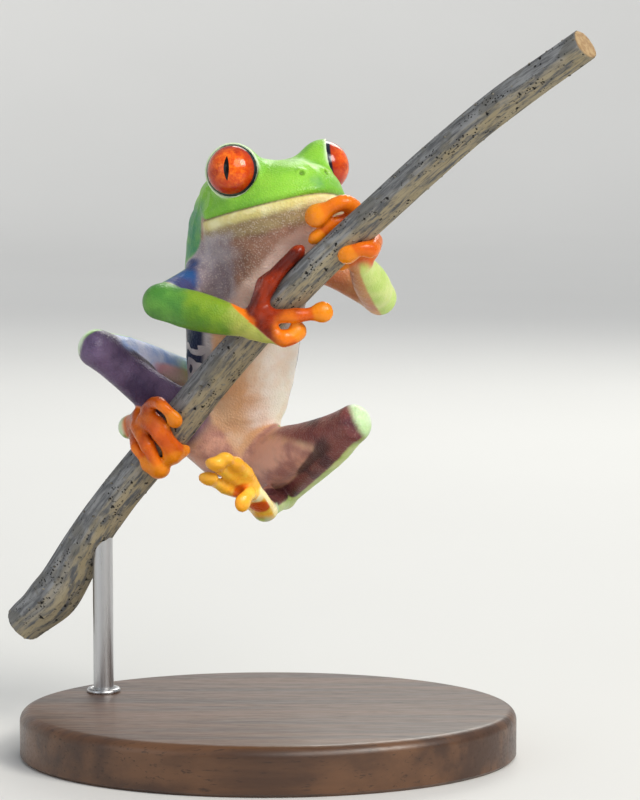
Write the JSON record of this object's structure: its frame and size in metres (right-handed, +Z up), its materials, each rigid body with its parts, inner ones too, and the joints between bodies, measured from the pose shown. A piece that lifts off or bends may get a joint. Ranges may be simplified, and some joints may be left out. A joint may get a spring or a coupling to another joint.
{
  "type": "red-eyed tree frog model on a twig",
  "caption": "Still life-size red-eyed tree frog clinging to a slanting cut twig, held by one rod on a flat oval display base.",
  "frame": {"origin": "on the base's underside, below the middle of the frog and twig", "axes": "+Z up, -Y the way the frog's belly and the display face, +X to the frog's left"},
  "size_m": [0.0832, 0.0613, 0.1037],
  "materials": {
    "leaf_green_skin": "moist satin frog skin, leaf green, finely granular",
    "cream_skin": "moist satin belly skin, cream to pinkish tan, granular",
    "violet_skin": "moist satin skin, violet brown with blue and pale green edges",
    "orange_skin": "moist glossy skin of hands and feet, orange",
    "red_eye": "wet glossy eye, orange red with a dark slit pupil",
    "bark": "matt ridged bark, grey tan with dark specks",
    "walnut": "satin oiled walnut",
    "steel": "satin drawn steel rod"
  },
  "bodies": {
    "root": {"eye_l": "red_eye", "eye_r": "red_eye", "finger_l_1": "orange_skin", "finger_l_2": "orange_skin", "finger_l_3": "orange_skin", "finger_l_4": "orange_skin", "finger_r_1": "orange_skin", "finger_r_2": "orange_skin", "finger_r_3": "orange_skin", "finger_r_4": "orange_skin", "foot_l": "orange_skin", "foot_r": "orange_skin", "forearm_l": "leaf_green_skin", "forearm_r": "leaf_green_skin", "hand_l": "orange_skin", "hand_r": "orange_skin", "head": "leaf_green_skin", "lower_jaw": "cream_skin", "shank_l": "violet_skin", "shank_r": "violet_skin", "stand_base": "walnut", "stand_rod": "steel", "tarsus_l": "leaf_green_skin", "tarsus_r": "leaf_green_skin", "thigh_l": "violet_skin", "thigh_r": "violet_skin", "toe_l_1": "orange_skin", "toe_l_2": "orange_skin", "toe_l_3": "orange_skin", "toe_l_4": "orange_skin", "toe_l_5": "orange_skin", "toe_r_1": "orange_skin", "toe_r_2": "orange_skin", "toe_r_3": "orange_skin", "toe_r_4": "orange_skin", "toe_r_5": "orange_skin", "trunk": "cream_skin", "twig": "bark", "upper_arm_l": "violet_skin", "upper_arm_r": "violet_skin"}
  },
  "joints": []
}
